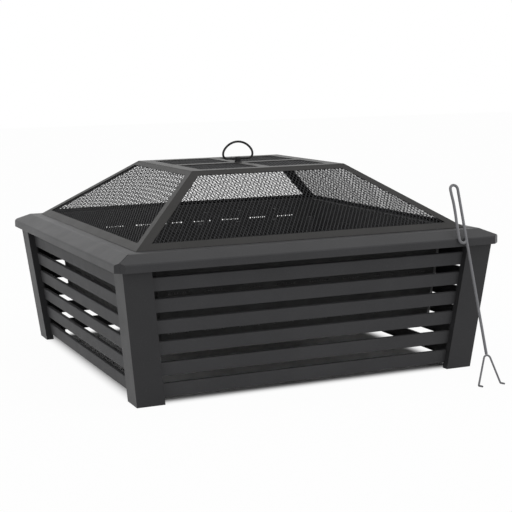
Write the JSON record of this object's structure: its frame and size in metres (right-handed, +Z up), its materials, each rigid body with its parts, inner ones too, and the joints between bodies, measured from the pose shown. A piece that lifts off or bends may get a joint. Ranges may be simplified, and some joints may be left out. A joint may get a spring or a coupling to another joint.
{
  "type": "fire pit with grate",
  "caption": "Square steel fire pit with leaning slatted sides, vented fire bowl, log grate, lift-off mesh spark screen with ring handle, and a poker leaning on its rim.",
  "frame": {"origin": "centre of the pit on the floor plane that its four legs stand on", "axes": "+X to the right seen from the front, +Y to the back, +Z up; the poker leans on the front rim, at -Y"},
  "size_m": [0.86, 0.9868, 0.491],
  "materials": {
    "leg_black": "satin black heat-resistant powder coat",
    "slat_black": "satin black powder coat",
    "rim_black": "satin black powder coat",
    "bracket_black": "satin black paint",
    "zinc": "zinc plated",
    "bowl_black": "matt black heat-resistant paint",
    "screen_black": "satin black heat-resistant paint",
    "mesh_black": "black painted expanded metal",
    "handle_black": "gloss black paint",
    "grate_black": "matt black paint",
    "poker_black": "semi-gloss dark grey paint"
  },
  "bodies": {
    "pit": {"leg_front_right": "leg_black", "leg_back_right": "leg_black", "leg_back_left": "leg_black", "leg_front_left": "leg_black", "slat_front_1": "slat_black", "slat_front_2": "slat_black", "slat_front_3": "slat_black", "slat_front_4": "slat_black", "slat_front_5": "slat_black", "slat_front_6": "slat_black", "slat_right_1": "slat_black", "slat_right_2": "slat_black", "slat_right_3": "slat_black", "slat_right_4": "slat_black", "slat_right_5": "slat_black", "slat_right_6": "slat_black", "slat_back_1": "slat_black", "slat_back_2": "slat_black", "slat_back_3": "slat_black", "slat_back_4": "slat_black", "slat_back_5": "slat_black", "slat_back_6": "slat_black", "slat_left_1": "slat_black", "slat_left_2": "slat_black", "slat_left_3": "slat_black", "slat_left_4": "slat_black", "slat_left_5": "slat_black", "slat_left_6": "slat_black", "rim_front": "rim_black", "rim_right": "rim_black", "rim_back": "rim_black", "rim_left": "rim_black", "corner_bracket_front_right": "bracket_black", "corner_bracket_back_right": "bracket_black", "corner_bracket_back_left": "bracket_black", "corner_bracket_front_left": "bracket_black", "rim_studs": "zinc", "rim_nuts": "zinc", "fire_bowl": "bowl_black"},
    "spark_screen": {"screen_panel_front": "screen_black", "screen_panel_right": "screen_black", "screen_panel_back": "screen_black", "screen_panel_left": "screen_black", "screen_mesh_front": "mesh_black", "screen_mesh_right": "mesh_black", "screen_mesh_back": "mesh_black", "screen_mesh_left": "mesh_black", "screen_top": "screen_black", "screen_top_mesh": "mesh_black", "handle_clip": "handle_black"},
    "ring_handle": {"ring_handle": "handle_black"},
    "log_grate": {"grate_bars": "grate_black", "grate_rails": "grate_black", "grate_legs": "grate_black"},
    "poker": {"poker_rod": "poker_black", "poker_fork": "poker_black"}
  },
  "joints": [
    {"name": "screen_lift", "type": "slide", "parent": "pit", "child": "spark_screen", "axis": [0, 0, 1], "range_m": [0, 0.35]},
    {"name": "ring_swing", "type": "hinge", "parent": "spark_screen", "child": "ring_handle", "pos_m": [0, 0, 0.45], "axis": [1, 0, 0], "range_deg": [-88, 88]},
    {"name": "grate_lift", "type": "slide", "parent": "pit", "child": "log_grate", "axis": [0, 0, 1], "range_m": [0, 0.1]},
    {"name": "poker_lift", "type": "slide", "parent": "pit", "child": "poker", "axis": [0, 0, 1], "range_m": [0, 0.25]}
  ]
}
